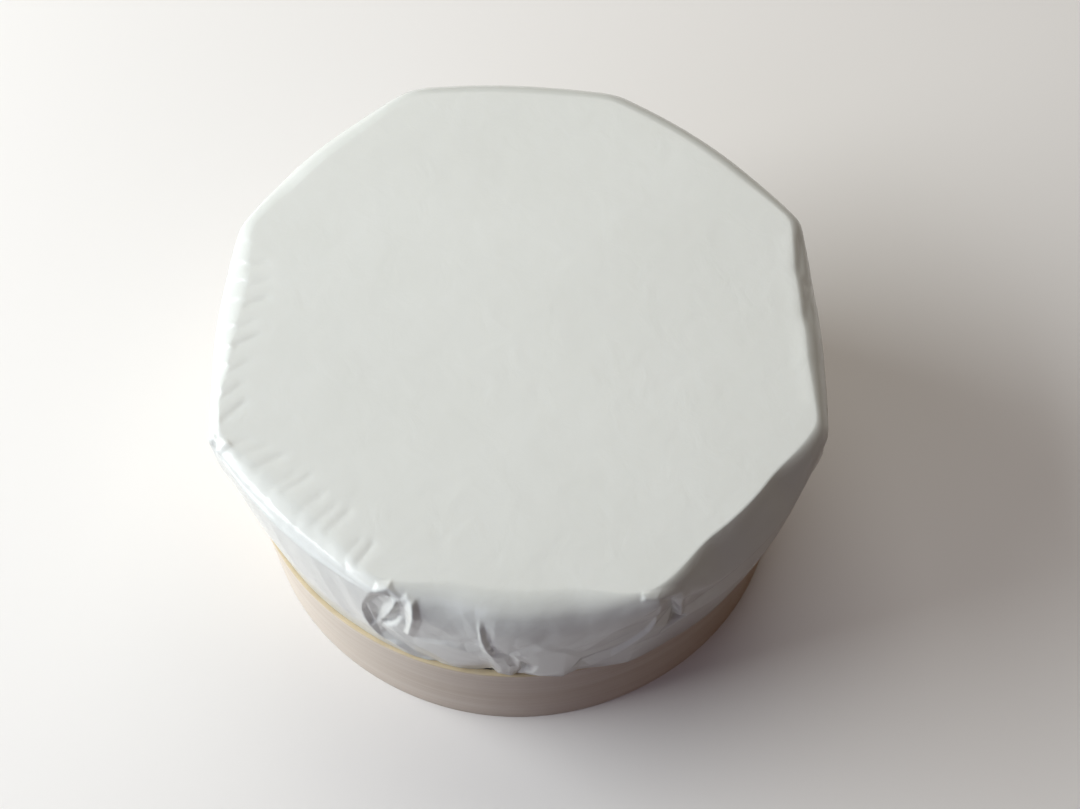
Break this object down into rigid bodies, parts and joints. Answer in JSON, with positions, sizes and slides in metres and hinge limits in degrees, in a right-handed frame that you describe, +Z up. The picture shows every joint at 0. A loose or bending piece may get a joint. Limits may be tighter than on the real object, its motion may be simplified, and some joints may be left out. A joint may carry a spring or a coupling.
{
  "type": "brie wheel",
  "caption": "Small wheel of soft cheese in folded white film, pressed into the base of a round thin-walled veneer box.",
  "frame": {"origin": "centre of the underside of the box floor, where the part rests", "axes": "+Z up, -Y towards the front, the side with the gathered knot and the front creases"},
  "size_m": [0.1157, 0.1192, 0.0641],
  "materials": {
    "white_film": "white wrapping film with a soft sheen, creased and pleated",
    "veneer": "unfinished pale veneer with fine grain along the band"
  },
  "bodies": {
    "root": {"wrapped_wheel": "white_film", "box_band": "veneer", "box_floor": "veneer"}
  },
  "joints": []
}
